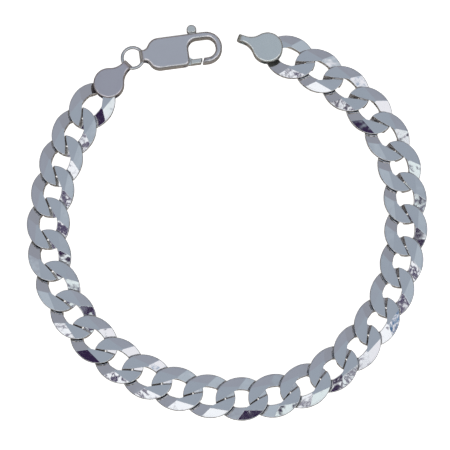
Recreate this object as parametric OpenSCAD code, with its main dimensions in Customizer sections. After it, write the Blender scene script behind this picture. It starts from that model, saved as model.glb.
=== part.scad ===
// Flat curb-link bracelet with a lobster clasp, unfastened and lying on its side in an open ring.
// Links are cut flat above and below, so each one is an oval ring whose limbs ramp down under the
// next link at one end and lie over it at the other. Z is up and the surface it lies on is z = 0.

/* [Links] */
// Outside length of a link
link_l = 9.45; // [8.6:0.05:12]
// Outside width of a link, which is the width of the chain
link_w = 7.8; // [7:0.1:10]
// Thickness of the chain between its flats
link_h = 2; // [1.6:0.1:2.6]
// Width of a link's two long limbs, seen from above
limb_w = 2.3; // [1.9:0.05:2.5]
// Width of a link's two bends, seen from above
bend_w = 1.65; // [1.2:0.025:1.8]
// Play between two bends that hook through each other
link_slack = 0.25; // [0.2:0.01:0.4]
// Height between a limb and the limb that crosses over it
lap_gap = 0.42; // [0.3:0.02:0.6]
// Where the ramps start, measured from the middle of the link toward a limb's high end
ramp_lead = 0.5; // [0:0.1:0.8]
// Width of the flat band along the middle, between the side facets
flat_w = 4.2; // [3.6:0.1:5]
// Slope of the side facets that run along the chain
bevel_angle = 15; // [8:1:20]
// Steepness of the step where a flat ends and a ramp begins at a bend
step_angle = 78; // [70:1:82]
// Direction of that step, seen from above, from the link's length
step_turn = 26; // [18:1:30]
// How far that step starts back from the link's middle line
step_back = 0.12; // [0.1:0.02:0.4]
// Direction of the edge in which a flat reaches over the eye, from the link's length
tongue_turn = 33; // [28:1:36]

/* [End caps] */
// Radius of a cap's round end
cap_r = 2.8; // [2.4:0.1:3.4]
// Radius of the hollow curve between a cap's round end and its neck
cap_fillet_r = 3; // [1.5:0.1:4]
// Thickness of the plate over a link's bend
cap_plate = 0.35; // [0.3:0.05:0.6]
// Thickness of the plate under a link's bend
cap_floor = 0.45; // [0.3:0.05:0.6]
// Distance from the first link's middle to the centre of the left cap's round end
left_cap_seat = 5; // [4.4:0.1:5.2]
// Distance from the last link's middle to the centre of the right cap's round end
right_cap_seat = 4.5; // [4.4:0.1:5.2]
// Distance from the round end's centre to the tip of the left cap
left_cap_reach = 5.3; // [4.8:0.1:7]
// Distance from the round end's centre to the tip of the right cap
right_cap_reach = 5.8; // [4.8:0.1:7]
// Width of the left cap's neck
left_neck_w = 1.7; // [1.2:0.1:2]
// Width of the right cap's neck
right_neck_w = 1.3; // [1.1:0.1:2]
// Wall round the eyes in the caps and in the clasp
eye_wall = 0.4; // [0.3:0.05:0.6]

/* [Jump ring] */
// Diameter of the ring's wire
ring_wire_d = 0.6; // [0.4:0.05:0.8]
// Inside diameter of the ring
ring_bore_d = 3.26; // [3.2:0.02:4]
// How far the left cap's tip and the clasp's neck reach into the ring
ring_grip = 0.4; // [0.4:0.05:0.65]

/* [Clasp] */
// Width of the clasp's body and hook
clasp_w = 5.85; // [5.2:0.05:6.6]
// Distance from the neck's eye to the back of the body
body_start = 0.5; // [0.4:0.1:1]
// Distance from the neck's eye to the front of the body
body_end = 7.85; // [7.5:0.05:9]
// Radius of the body's two corners at the neck
shoulder_r = 2.2; // [1.2:0.1:2.4]
// Width of the neck
neck_w = 2.1; // [1.8:0.1:2.6]
// Width of the hook's band along its upper side
band_w = 1.2; // [0.9:0.05:1.3]
// Width of the hook's band at its nose and of the tongue that meets it
nose_w = 1.05; // [0.8:0.05:1.1]
// Inside length of the hook, from the body to the bend
hook_bore_l = 5; // [4.5:0.05:6]
// Corner radius inside the hook
hook_bore_r = 1.6; // [0.8:0.05:1.6]
// Distance from the body to the slit between the tongue and the nose
tongue_l = 2.25; // [2.2:0.05:2.8]
// Width of that slit
slit_w = 0.35; // [0.15:0.05:0.4]
// Slant of that slit across the band
slit_angle = 23; // [10:1:30]

/* [Lever] */
// Thickness of the lever inside the body
lever_t = 1.1; // [0.8:0.05:1.3]
// Thickness of the tongue and the knob outside the body
tongue_t = 1.8; // [1.4:0.1:2]
// Clearance above and below the lever in its slot
lever_gap = 0.1; // [0.06:0.02:0.2]
// Pivot's distance back from the front of the body
pivot_back = 1.55; // [1.4:0.05:1.8]
// Pivot's distance up from the lower edge of the body
pivot_up = 1.6; // [1.5:0.05:1.9]
// Radius of the boss round the pivot
boss_r = 0.95; // [0.8:0.05:1.05]
// Diameter of the pivot pin
pin_d = 0.8; // [0.6:0.05:1]
// Radial clearance between the pin and its holes
pin_fit = 0.03; // [0.02:0.01:0.06]
// Width of the lever's arm
arm_w = 1.1; // [0.8:0.05:1.2]
// Width of the thumb knob
knob_w = 1.8; // [1.4:0.1:2]
// Height of the thumb knob above the body
knob_h = 1.5; // [1.4:0.05:2.2]
// How far the lever turns when the knob is pulled back
lever_travel = 22; // [15:1:22]

/* [Fit] */
// Clearance between pieces that lie against each other
fit = 0.05; // [0.03:0.01:0.1]
// Gap between the hook's end and the right cap's tip, measured round the ring in which it all lies
end_gap = 3.9; // [1:0.1:10]

/* [Hidden] */
// Turn from each link to the next, counted from the clasp end, chosen by hand as shares that
// are close to degrees. Together with the fittings and the gap they make up the whole ring.
link_turns = [10.6, 10.2, 7.1, 7.9, 12, 13.7, 12, 10.4, 10.1, 9.6, 8.6, 7.8, 8.9, 11.5,
              13.2, 12.9, 10.4, 9.1, 10.1, 10.4, 9.1, 8.4, 10, 12.5, 13.3, 10.8, 8.4, 7.9];
// Directions in degrees, anticlockwise from +X, chosen by hand to lay the pieces as they lie
first_heading = 231;
left_cap_swing = 2;
left_cap_turn = -7;
right_cap_swing = 0;
right_cap_turn = 2.5;
ring_turn = 12;
clasp_from_ring = 8;
clasp_heading = 7.7;

link_count = len(link_turns) + 1;
pitch = link_l - 2 * bend_w - link_slack;
link_eye_l = link_l - 2 * bend_w;
link_eye_w = link_w - 2 * limb_w;
// The link is the same from all of these sides
link_corners = [[0, 0, 0], [0, 0, 180], [180, 0, 0], [0, 180, 0]];
ramp_angle = atan((link_h + lap_gap) / (pitch + 2 * ramp_lead));
outer_sides = 36;
inner_sides = 28;
// Longer than any piece, for cutting blocks and half spaces
big = 3 * link_l;
// Overshoot of a cut past the face that it opens
over = 0.5;

fitting_h = link_h + fit + cap_plate;
eye_z = fitting_h / 2;
eye_r = fitting_h / 2 - eye_wall;
ring_r = (ring_bore_d + ring_wire_d) / 2;
tip_to_ring = ring_bore_d / 2 - ring_grip;
ring_groove_r = ring_wire_d / 2 + fit;

half_w = clasp_w / 2;
hook_c = body_end + hook_bore_l + band_w - half_w;
slot_h = lever_t + 2 * lever_gap;
pivot = [body_end - pivot_back, pivot_up - half_w];
arm_x = body_end - fit - lever_gap - arm_w;
knob_x = body_end + fit + lever_gap;
knob_base = half_w + 2 * lever_gap;
bar_y = half_w - band_w + 3 * lever_gap;
slit_x = body_end + tongue_l;
lever_sweep = half_w - pivot[1];
slot_back = arm_x - lever_sweep * sin(lever_travel) - 2 * lever_gap;

ring_length = (link_count - 1) * pitch + left_cap_seat + right_cap_seat + left_cap_reach + right_cap_reach
    + 2 * tip_to_ring + fitting_h / 2 + hook_c + half_w + end_gap;
turn_scale = 360 / ring_length * pitch * (link_count - 1) / (link_turns * [for (t = link_turns) 1]);

function spot_after(spot, turn) = let (a = spot[2] + turn_scale * turn)
    [spot[0] + pitch / 2 * (cos(spot[2]) + cos(a)), spot[1] + pitch / 2 * (sin(spot[2]) + sin(a)), a];
link_spots = [for (i = 0, spot = [0, 0, first_heading]; i < link_count;
                   spot = i < link_count - 1 ? spot_after(spot, link_turns[i]) : spot, i = i + 1) spot];

// A spot is [x, y, heading]; ahead() is the spot a distance further on, turned by an angle
function ahead(spot, distance, turn) =
    [spot[0] + distance * cos(spot[2]), spot[1] + distance * sin(spot[2]), spot[2] + turn];
function facing(spot, heading) = [spot[0], spot[1], heading];

left_cap_spot = ahead(facing(link_spots[0], first_heading - 180 + left_cap_swing),
                      left_cap_seat, left_cap_turn);
last_spot = link_spots[link_count - 1];
right_cap_spot = ahead(facing(last_spot, last_spot[2] + right_cap_swing), right_cap_seat, right_cap_turn);
left_tip_spot = ahead(left_cap_spot, left_cap_reach, ring_turn);
ring_spot = facing(ahead(left_tip_spot, tip_to_ring, 0), clasp_from_ring);
clasp_spot = facing(ahead(ring_spot, tip_to_ring + fitting_h / 2, 0), clasp_heading);

// The whole part's middle in plan, from the outermost links and the top of the knob
function oval_reach(spot, a) = let (b = spot[2] - a) norm([link_l / 2 * cos(b), link_w / 2 * sin(b)]);
knob_c = [knob_x + knob_w / 2, half_w + knob_h - knob_w / 2];
knob_top = clasp_spot[1] + norm(knob_c) * sin(clasp_heading + atan2(knob_c[1], knob_c[0])) + knob_w / 2;
west = min([for (s = link_spots) s[0] - oval_reach(s, 0)]);
east = max([for (s = link_spots) s[0] + oval_reach(s, 0)]);
south = min([for (s = link_spots) s[1] - oval_reach(s, 90)]);
middle = [(west + east) / 2, (south + knob_top) / 2, 0];

function two_digits(n) = str(n < 10 ? "0" : "", n);
function link_name(i) = str("link_", two_digits(i + 1));

module at(spot) translate([spot[0], spot[1], 0] - middle) rotate(spot[2]) children();

function oval(half_l, half_b, sides) =
    [for (k = [0:sides - 1]) [half_l * cos(360 * k / sides), half_b * sin(360 * k / sides)]];

// Everything above a plane through the origin that falls toward +X or toward +Y
module above_fall_x(angle) rotate([0, angle, 0]) translate([-big / 2, -big / 2, 0]) cube(big);
module above_fall_y(angle) rotate([-angle, 0, 0]) translate([-big / 2, -big / 2, 0]) cube(big);

// The link's opening, an oval that leaves each flat room to reach over it at one bend
module link_eye() {
    difference() {
        linear_extrude(link_h + 2 * over, center = true)
            polygon(oval(link_eye_l / 2, link_eye_w / 2, inner_sides));
        for (turned = link_corners) rotate(turned)
            translate([link_eye_l / 2, -step_back, link_h / 2]) rotate(tongue_turn) above_fall_y(-step_angle);
    }
}

// Flat oval ring with side facets, seen along the chain as a six-cornered bar
module link_blank() {
    flat = flat_w / 2;
    edge = link_w / 2 + over;
    edge_z = link_h / 2 - (edge - flat) * tan(bevel_angle);
    corners = [[flat, link_h / 2], [edge, edge_z], [edge, -edge_z], [flat, -link_h / 2]];
    intersection() {
        linear_extrude(link_h, center = true) polygon(oval(link_l / 2, link_w / 2, outer_sides));
        rotate([90, 0, 90]) linear_extrude(link_l + 2 * over, center = true)
            polygon(concat(corners, [for (k = [3:-1:0]) [-corners[k][0], corners[k][1]]]));
    }
}

// What is taken off above one limb's low end
module lap_cut() {
    intersection() {
        translate([-ramp_lead, 0, link_h / 2]) above_fall_x(ramp_angle);
        translate([link_eye_l / 2, -step_back, link_h / 2]) rotate(step_turn) above_fall_y(step_angle);
    }
}

module curb_link() {
    translate([0, 0, link_h / 2]) difference() {
        link_blank();
        link_eye();
        for (turned = link_corners) rotate(turned) lap_cut();
    }
}

// An end link's bend is pared underneath to lie on its cap's lower plate
module pared_link(cap_seat, cap_swing) {
    difference() {
        curb_link();
        rotate(cap_swing) translate([cap_seat, 0, 0])
            cylinder(h = 2 * (cap_floor + fit), r = cap_r + fit, center = true, $fn = 64);
    }
}

module link(i) {
    color("silver") at(link_spots[i]) {
        if (i == 0) rotate(180) pared_link(left_cap_seat, left_cap_swing);
        else if (i == link_count - 1) pared_link(right_cap_seat, right_cap_swing);
        else curb_link();
    }
}

// Neck of a cap or clasp, from x = 0 to a rounded tip, with its eye bored across it
module neck(reach, width) {
    intersection() {
        translate([0, -width / 2, 0]) cube([reach, width, fitting_h]);
        union() {
            translate([0, -width, 0]) cube([reach - eye_z, 2 * width, fitting_h]);
            translate([reach - eye_z, 0, eye_z]) rotate([90, 0, 0])
                cylinder(h = 2 * width, r = eye_z, center = true, $fn = 64);
        }
    }
}

module eye_bore(reach, width) {
    translate([reach - eye_z, 0, eye_z]) rotate([90, 0, 0])
        cylinder(h = width + 2 * over, r = eye_r, center = true, $fn = 64);
}

// Hollow curves that flow from a cap's round end into its neck
module cap_flare(width) {
    fillet_y = width / 2 + cap_fillet_r;
    fillet_x = sqrt(pow(cap_r + cap_fillet_r, 2) - pow(fillet_y, 2));
    share = cap_r / (cap_r + cap_fillet_r);
    linear_extrude(fitting_h) difference() {
        polygon([[0, 0], share * [fillet_x, fillet_y], [fillet_x, width / 2],
                 [fillet_x, -width / 2], share * [fillet_x, -fillet_y]]);
        for (side = [-1, 1]) translate([fillet_x, side * fillet_y]) circle(r = cap_fillet_r, $fn = 96);
    }
}

module end_cap(cap_seat, reach, width) {
    pocket_end = link_l / 2 - cap_seat + 2 * fit;
    difference() {
        union() {
            cylinder(h = fitting_h, r = cap_r, $fn = 96);
            cap_flare(width);
            neck(reach, width);
        }
        translate([pocket_end - big, -big / 2, cap_floor]) cube([big, big, link_h + fit - cap_floor]);
        eye_bore(reach, width);
    }
}

module ring_round_wire(wire_r) {
    translate([0, 0, eye_z]) rotate_extrude($fn = 96) translate([ring_r, 0]) circle(r = wire_r, $fn = 32);
}

module left_end_cap() {
    color("silver") difference() {
        at(left_cap_spot) end_cap(left_cap_seat, left_cap_reach, left_neck_w);
        at(ring_spot) ring_round_wire(ring_groove_r);
    }
}

module right_end_cap() {
    color("silver") at(right_cap_spot) end_cap(right_cap_seat, right_cap_reach, right_neck_w);
}

module jump_ring() {
    color("gainsboro") at(ring_spot) ring_round_wire(ring_wire_d / 2);
}

module body_outline() {
    corner_r = pivot_up - boss_r + 3 * lever_gap;
    square_x = body_start + shoulder_r;
    translate([square_x, -half_w]) square([body_end - corner_r - square_x, clasp_w]);
    translate([square_x, corner_r - half_w]) square([body_end - square_x, clasp_w - corner_r]);
    translate([body_start, shoulder_r - half_w]) square([shoulder_r + over, clasp_w - 2 * shoulder_r]);
    for (side = [-1, 1])
        translate([square_x, side * (half_w - shoulder_r)]) circle(r = shoulder_r, $fn = 64);
    translate([body_end - corner_r, corner_r - half_w]) circle(r = corner_r, $fn = 64);
}

// Inside of the hook, a rectangle with round corners
module hook_bore() {
    top = half_w - band_w;
    bottom = nose_w - half_w;
    x0 = body_end + hook_bore_r;
    x1 = body_end + hook_bore_l - hook_bore_r;
    translate([body_end, bottom + hook_bore_r])
        square([hook_bore_l, top - bottom - 2 * hook_bore_r]);
    translate([x0, bottom]) square([x1 - x0, top - bottom]);
    for (x = [x0, x1])
        for (y = [top - hook_bore_r, bottom + hook_bore_r]) translate([x, y]) circle(r = hook_bore_r, $fn = 64);
}

// Slanted space between the body and a line across the band, back from the slit by a distance
module tongue_space(from_x, back) {
    lean = tan(slit_angle);
    low = half_w + over;
    polygon([[from_x, -low], [slit_x - back - lean * over, -low],
             [slit_x - back + lean * half_w, 0], [from_x, 0]]);
}

module hook_outline() {
    difference() {
        union() {
            translate([body_end - over, -half_w]) square([hook_c - body_end + over, clasp_w]);
            translate([hook_c, 0]) circle(r = half_w, $fn = 96);
        }
        hook_bore();
        tongue_space(body_end - 2 * over, 0);
    }
}

// Space inside the body that the lever swings in, open above, in front and at the lower corner
module lever_slot() {
    floor_y = pivot[1] - boss_r - lever_gap;
    linear_extrude(slot_h, center = true) polygon([
        [slot_back, floor_y], [pivot[0], floor_y],
        [pivot[0] + boss_r / 2, -half_w - over], [body_end + over, -half_w - over],
        [body_end + over, bar_y - lever_gap], [knob_x + knob_w + lever_gap, bar_y - lever_gap],
        [knob_x + knob_w + lever_gap, half_w + over], [slot_back, half_w + over]]);
}

module clasp_body() {
    color("silver") difference() {
        at(clasp_spot) difference() {
            union() {
                linear_extrude(fitting_h) union() {
                    body_outline();
                    hook_outline();
                }
                rotate(180) translate([-body_start - shoulder_r, 0, 0])
                    neck(body_start + shoulder_r + eye_z, neck_w);
            }
            rotate(180) eye_bore(eye_z, neck_w);
            translate([0, 0, eye_z]) lever_slot();
            translate([pivot[0], pivot[1], -over])
                cylinder(h = fitting_h - cap_plate + over, r = pin_d / 2 + pin_fit, $fn = 48);
        }
        at(ring_spot) ring_round_wire(ring_groove_r);
    }
}

module clasp_pin() {
    color("gray") at(clasp_spot) translate([pivot[0], pivot[1], 0])
        cylinder(h = fitting_h - cap_plate - fit, r = pin_d / 2, $fn = 48);
}

module tongue_outline(from_x) {
    intersection() {
        translate([from_x, lever_gap - half_w]) square([big, nose_w - lever_gap]);
        tongue_space(from_x, slit_w);
    }
}

module lever_plate_outline() {
    translate(pivot) circle(r = boss_r, $fn = 64);
    translate([arm_x, pivot[1]]) square([arm_w, half_w - lever_gap - pivot[1]]);
    translate([arm_x, bar_y]) square([knob_x + knob_w - arm_x, half_w - lever_gap - bar_y]);
    translate([knob_x, bar_y]) square([knob_w, knob_base + over - bar_y]);
    tongue_outline(body_end - lever_gap);
    polygon([[pivot[0], pivot[1] - boss_r], [body_end - arm_w / 2, lever_gap - half_w],
             [knob_x + over, lever_gap - half_w], [knob_x + over, nose_w - half_w],
             [arm_x + arm_w, pivot[1]], [pivot[0], pivot[1]]]);
}

module knob_outline() {
    translate([knob_x, knob_base]) square([knob_w, knob_c[1] - knob_base]);
    intersection() {
        translate(knob_c) circle(r = knob_w / 2, $fn = 64);
        translate([knob_x - over, knob_base]) square(big);
    }
}

module clasp_lever() {
    color("gainsboro") at(clasp_spot) translate([0, 0, eye_z]) difference() {
        union() {
            linear_extrude(lever_t, center = true) lever_plate_outline();
            linear_extrude(tongue_t, center = true) tongue_outline(knob_x);
            linear_extrude(tongue_t, center = true) knob_outline();
        }
        translate([pivot[0], pivot[1], 0])
            cylinder(h = fitting_h, r = pin_d / 2 + pin_fit, center = true, $fn = 48);
    }
}

for (i = [0:link_count - 1]) link(i);
left_end_cap();
right_end_cap();
jump_ring();
clasp_body();
clasp_pin();
clasp_lever();
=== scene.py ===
"""Looks of a flat curb-link bracelet with a lobster clasp, lying unfastened on a white table.

Lengths in the classes are millimetres, as a bench jeweller gives them. Each piece is built in its
own place and put into the shared frame, in metres, by a spot: a point and a heading in plan.
"""

import logging
import math
from dataclasses import dataclass, replace
from enum import Enum
from typing import Any, Iterable, Sequence

import bmesh
import bpy
from mathutils import Matrix, Vector


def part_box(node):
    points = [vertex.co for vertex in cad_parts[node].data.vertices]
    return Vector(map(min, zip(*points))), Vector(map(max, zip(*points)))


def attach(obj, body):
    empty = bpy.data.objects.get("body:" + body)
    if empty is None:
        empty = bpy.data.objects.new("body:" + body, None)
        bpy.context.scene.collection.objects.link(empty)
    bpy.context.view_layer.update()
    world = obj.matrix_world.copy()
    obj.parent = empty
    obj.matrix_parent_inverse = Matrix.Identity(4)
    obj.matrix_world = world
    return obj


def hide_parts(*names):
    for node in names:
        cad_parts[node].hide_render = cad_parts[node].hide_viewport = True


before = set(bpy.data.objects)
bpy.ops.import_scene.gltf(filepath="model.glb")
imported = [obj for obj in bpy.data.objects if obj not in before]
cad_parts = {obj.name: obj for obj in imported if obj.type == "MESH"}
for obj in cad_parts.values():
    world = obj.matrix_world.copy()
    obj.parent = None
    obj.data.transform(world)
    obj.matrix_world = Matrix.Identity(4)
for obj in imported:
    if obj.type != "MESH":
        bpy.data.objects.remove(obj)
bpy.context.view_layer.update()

MM = 0.001
LOG = logging.getLogger("bracelet")

Piece = bpy.types.Object
Solid = bmesh.types.BMesh
Tree = bpy.types.NodeTree
Socket = bpy.types.NodeSocket
Material = bpy.types.Material
Point = tuple[float, float]
Plane = tuple[Vector, Vector]  # a point on it and the direction away from what it bounds

SPARE = 0.5  # how far a cutting tool stands out of what it cuts
RIM_RINGS = 5  # bevel segments of a rounded rim
TOUCH = 1e-5  # how near a plane a point counts as lying on it
RING_TURNS, WIRE_SIDES, EYE_SIDES = 96, 24, 64  # facets round rings and table, a wire, an eye
LINK_PLACE, LINK_TONE, UPRIGHT = "link_place", "link_tone", "upright"  # attributes of the meshes


class Body(Enum):
    """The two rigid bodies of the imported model."""

    BRACELET = "bracelet"
    LEVER = "lever"


class End(Enum):
    """Which end of the chain a piece belongs to."""

    CLASP_END = "left"
    FREE_END = "right"


# ---------------------------------------------------------------- colours and nodes

def linear(code: str) -> tuple[float, float, float, float]:
    """Turns an sRGB hex colour into the linear colour that Blender's sockets take.

    Args:
        code: Six hex digits after a number sign.

    Returns:
        Red, green, blue and an alpha of 1.
    """
    values = [int(code[i:i + 2], 16) / 255 for i in (1, 3, 5)]
    r, g, b = (v / 12.92 if v <= 0.04045 else ((v + 0.055) / 1.055) ** 2.4 for v in values)
    return r, g, b, 1.0


def add_node(tree: Tree, kind: str, inputs: dict[Any, Any] | None = None, out: Any = 0,
             **settings: Any) -> Any:
    """Adds one node with its settings, values and links.

    Args:
        tree: The shader or geometry tree.
        kind: The node's type name.
        inputs: Input name or number to a value, to an output to link from, or to a list of those.
        out: Name or number of the output that is wanted, or None for all of them.
        **settings: Properties of the node itself.

    Returns:
        That output of the new node, or all its outputs.
    """
    node = tree.nodes.new(kind)
    for name, value in settings.items():
        setattr(node, name, value)
    for key, value in (inputs or {}).items():
        for source in value if isinstance(value, list) else [value]:
            if isinstance(source, Socket):
                tree.links.new(source, node.inputs[key])
            else:
                node.inputs[key].default_value = source
    return node.outputs if out is None else node.outputs[out]


def start_group(name: str, inputs: dict[str, str], result: str) -> tuple[Tree, Any]:
    """Starts a geometry node group with named sockets.

    Args:
        name: The group's name.
        inputs: The names of its inputs and their kinds.
        result: The name of the geometry that it gives.

    Returns:
        The group and what its inputs give inside it.
    """
    tree = bpy.data.node_groups.new(name, "GeometryNodeTree")
    for label, kind in inputs.items():
        tree.interface.new_socket(name=label, in_out="INPUT", socket_type=f"NodeSocket{kind}")
    tree.interface.new_socket(name=result, in_out="OUTPUT", socket_type="NodeSocketGeometry")
    return tree, add_node(tree, "NodeGroupInput", out=None)


def end_group(tree: Tree, copies: Socket, finish: Socket) -> None:
    """Ends a geometry node group.

    Args:
        tree: The group.
        copies: The output with the instances, which are made real.
        finish: The output with their material.
    """
    real = add_node(tree, "GeometryNodeRealizeInstances", {0: copies})
    dressed = add_node(tree, "GeometryNodeSetMaterial", {"Geometry": real, "Material": finish})
    add_node(tree, "NodeGroupOutput", {0: dressed}, None)


# ---------------------------------------------------------------- finishes

@dataclass(frozen=True)
class MetalFinish:
    """A finish of plated sterling silver, or of the pin's steel.

    Its waves are what the polishing wheel leaves: too low to feel, but they break up a
    reflection, and its clouds change tone and gloss over a few waves. Its lines are the marks of
    the last cut or cloth. Its upright walls are duller and painted darker, a painted shade, which
    the grain noise mottles between the two wall colours, the lighter one a painted glint on the
    cut links. Lines and grain are drawn several times coarser than they are: a few hundredths of
    a millimetre wouldn't show.
    """

    name: str
    colour: str
    tarnish: str
    # The two wall colours paint the upright walls: wall_shade is a painted shade, and wall, mottled in
    # by the grain noise, is a lighter painted shade, or painted glints on the cut links.
    wall: str
    wall_shade: str
    roughness: float
    roughness_spread: float
    wave: float
    wave_height: float
    line: float
    line_height: float
    line_stretch: float = 0.06
    grain: float = 0.4
    waves_in_cloud: float = 2.2
    octaves: tuple[float, float, float, float] = (1.5, 3.0, 2.0, 2.0)
    cloud_range: Point = (0.3, 0.7)
    grain_range: Point = (0.44, 0.56)
    wall_range: Point = (0.45, 0.8)
    wall_roughness: float = 0.3
    wall_dulling: float = 0.45
    place_attribute: str = ""
    tone_shift: float = 37.0

    def material(self) -> Material:
        """Builds the material.

        Returns:
            A metal whose colour, roughness and bump come from noise on the piece's own place. Where
            a place attribute is named, each link has its own stretch of that noise.
        """
        material = bpy.data.materials.new(self.name)
        material.use_nodes = True
        tree = material.node_tree
        tree.nodes.clear()
        shift: dict[str, Socket] = {}
        if self.place_attribute:
            place = add_node(tree, "ShaderNodeAttribute", out="Vector",
                             attribute_name=self.place_attribute)
            tone = add_node(tree, "ShaderNodeAttribute", out="Fac", attribute_name=LINK_TONE)
            shift["W"] = add_node(tree, "ShaderNodeMath", {0: tone, 1: self.tone_shift},
                                  operation="MULTIPLY")
        else:
            place = add_node(tree, "ShaderNodeTexCoord", out="Object")
        along = add_node(tree, "ShaderNodeMapping", {
            "Vector": place, "Scale": (self.line_stretch, 1.0, 1.0)})
        wave, cloud, lines, grain = (
            add_node(tree, "ShaderNodeTexNoise", {
                "Vector": where, "Scale": 1 / (size * MM), "Detail": octaves, **shift},
                noise_dimensions="4D" if shift else "3D")
            for where, size, octaves in zip(
                (place, place, along, place),
                (self.wave, self.waves_in_cloud * self.wave, self.line, self.grain), self.octaves))
        broad = add_node(tree, "ShaderNodeBump", {"Height": wave, "Distance": self.wave_height * MM})
        fine = add_node(tree, "ShaderNodeBump", {
            "Height": lines, "Distance": self.line_height * MM, "Normal": broad})
        rough = add_node(tree, "ShaderNodeMapRange", {
            "Value": cloud, "From Min": self.cloud_range[0], "From Max": self.cloud_range[1],
            "To Min": self.roughness, "To Max": self.roughness + self.roughness_spread})
        # Upright walls are painted darker, a painted shade, mottled by the grain noise between the two
        # wall colours; they are also rougher and less metallic.
        upright = add_node(tree, "ShaderNodeAttribute", out="Fac", attribute_name=UPRIGHT)
        is_wall, is_grain = (
            add_node(tree, "ShaderNodeMapRange", {"Value": value, "From Min": low, "From Max": high})
            for value, (low, high) in ((upright, self.wall_range), (grain, self.grain_range)))
        clean, wall = (
            add_node(tree, "ShaderNodeMix", {0: amount, 6: linear(first), 7: linear(second)}, 2,
                     data_type="RGBA")
            for amount, first, second in ((cloud, self.colour, self.tarnish),
                                          (is_grain, self.wall_shade, self.wall)))
        colour = add_node(tree, "ShaderNodeMix", {0: is_wall, 6: clean, 7: wall}, 2, data_type="RGBA")
        roughness, metallic = (
            add_node(tree, "ShaderNodeMath", {0: is_wall, 1: gain, 2: level}, operation="MULTIPLY_ADD")
            for gain, level in ((self.wall_roughness, rough), (-self.wall_dulling, 1.0)))
        shader = add_node(tree, "ShaderNodeBsdfPrincipled", {
            "Base Color": colour, "Metallic": metallic, "Roughness": roughness, "Normal": fine})
        add_node(tree, "ShaderNodeOutputMaterial", {"Surface": shader}, None)
        return material


# Flat faces struck by a diamond wheel and plated: mirror-bright, with faint ripples that bend the
# edges of what they mirror.
# Its upright walls are painted dark brown, a painted shade, flecked with near-white painted glints.
CUT_SILVER = MetalFinish(
    "diamond_cut_silver", colour="#E2E4E8", tarnish="#D6DAE0", wall="#EEE8E4", wall_shade="#6C6258",
    roughness=0.04, roughness_spread=0.04, wave=2.2, wave_height=0.055, line=0.16,
    line_height=0.0003, place_attribute=LINK_PLACE)
# Cast, tumbled and plated: soft broad reflections without crisp edges.
# Its upright walls are painted grey-brown, a painted shade.
CAST_SILVER = MetalFinish(
    "tumbled_cast_silver", colour="#DDDFE3", tarnish="#CFD3DA", wall="#A8A098", wall_shade="#98908A",
    roughness=0.16, roughness_spread=0.07, wave=1.9, wave_height=0.006, line=0.22,
    line_height=0.0004)
# The castings are lighter and darker copies of one cast silver: painted light and shade, matched to
# how each piece shows. The cap at the clasp is the warmest and darkest, the free one the palest,
# and the lever and the clasp's body are pale.
CLASP_SILVER = replace(CAST_SILVER, name="clasp_cast_silver", colour="#E3E2E6", tarnish="#DAD8DE")
SHADED_WARM_CAP_SILVER = replace(CAST_SILVER, name="warm_cap_silver", colour="#DAD6DC", tarnish="#CECAD2")
LIT_PALE_CAP_SILVER = replace(CAST_SILVER, name="pale_cap_silver", colour="#EFF3F1", tarnish="#E2E9EA")
LIT_PALE_LEVER_SILVER = replace(CAST_SILVER, name="rubbed_lever_silver", colour="#F2F3F0", tarnish="#E4E8E6")
# Drawn wire bent to a ring: bright along the bend.
WIRE_SILVER = MetalFinish(
    "drawn_silver_wire", colour="#DFE0E2", tarnish="#CFD2D6", wall="#DFE0E2", wall_shade="#DFE0E2",
    roughness=0.10, roughness_spread=0.06, wave=0.9, wave_height=0.002, line=0.12,
    line_height=0.0003)
# Turned stainless pin: greyer than the silver round it.
PIN_STEEL = MetalFinish(
    "turned_pin_steel", colour="#A9ABAF", tarnish="#96999E", wall="#A9ABAF", wall_shade="#A9ABAF",
    roughness=0.28, roughness_spread=0.08, wave=0.8, wave_height=0.001, line=0.1,
    line_height=0.0005)


# ---------------------------------------------------------------- places

@dataclass(frozen=True)
class Spot:
    """A place in plan with a heading in degrees, anticlockwise from +X."""

    x: float
    y: float
    heading: float

    def ahead(self, distance: float, turn: float = 0.0) -> "Spot":
        """Returns the spot a distance further on, turned by an angle."""
        a = math.radians(self.heading)
        return Spot(self.x + distance * math.cos(a), self.y + distance * math.sin(a),
                    self.heading + turn)

    def facing(self, heading: float) -> "Spot":
        """Returns the same place with another heading."""
        return Spot(self.x, self.y, heading)

    def moved(self, dx: float, dy: float) -> "Spot":
        """Returns the same heading at a place moved in plan."""
        return Spot(self.x + dx, self.y + dy, self.heading)

    def matrix(self, lift: float = 0.0) -> Matrix:
        """Returns the matrix that takes millimetres at the spot into the frame's metres."""
        turn = Matrix.Rotation(math.radians(self.heading), 4, "Z")
        return Matrix.Scale(MM, 4) @ Matrix.Translation((self.x, self.y, lift)) @ turn


# ---------------------------------------------------------------- outlines and solids

def arc(centre: Point, radius: float, start: float, end: float, step: float = 4.0) -> list[Point]:
    """Lists the points of an arc.

    Args:
        centre: The arc's centre.
        radius: Its radius.
        start: The angle of its first point, in degrees.
        end: The angle of its last point; less than start runs clockwise.
        step: The largest angle between two points.

    Returns:
        The points, both ends included.
    """
    count = max(1, math.ceil(abs(end - start) / step))
    angles = [math.radians(start + (end - start) * k / count) for k in range(count + 1)]
    return [(centre[0] + radius * math.cos(a), centre[1] + radius * math.sin(a)) for a in angles]


def circle(centre: Point, radius: float, sides: int, start: float = 0.0) -> list[Point]:
    """Lists the corners of a regular outline, anticlockwise from an angle in degrees."""
    step = 360 / sides
    return arc(centre, radius, start, start + 360 - step, step)


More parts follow.
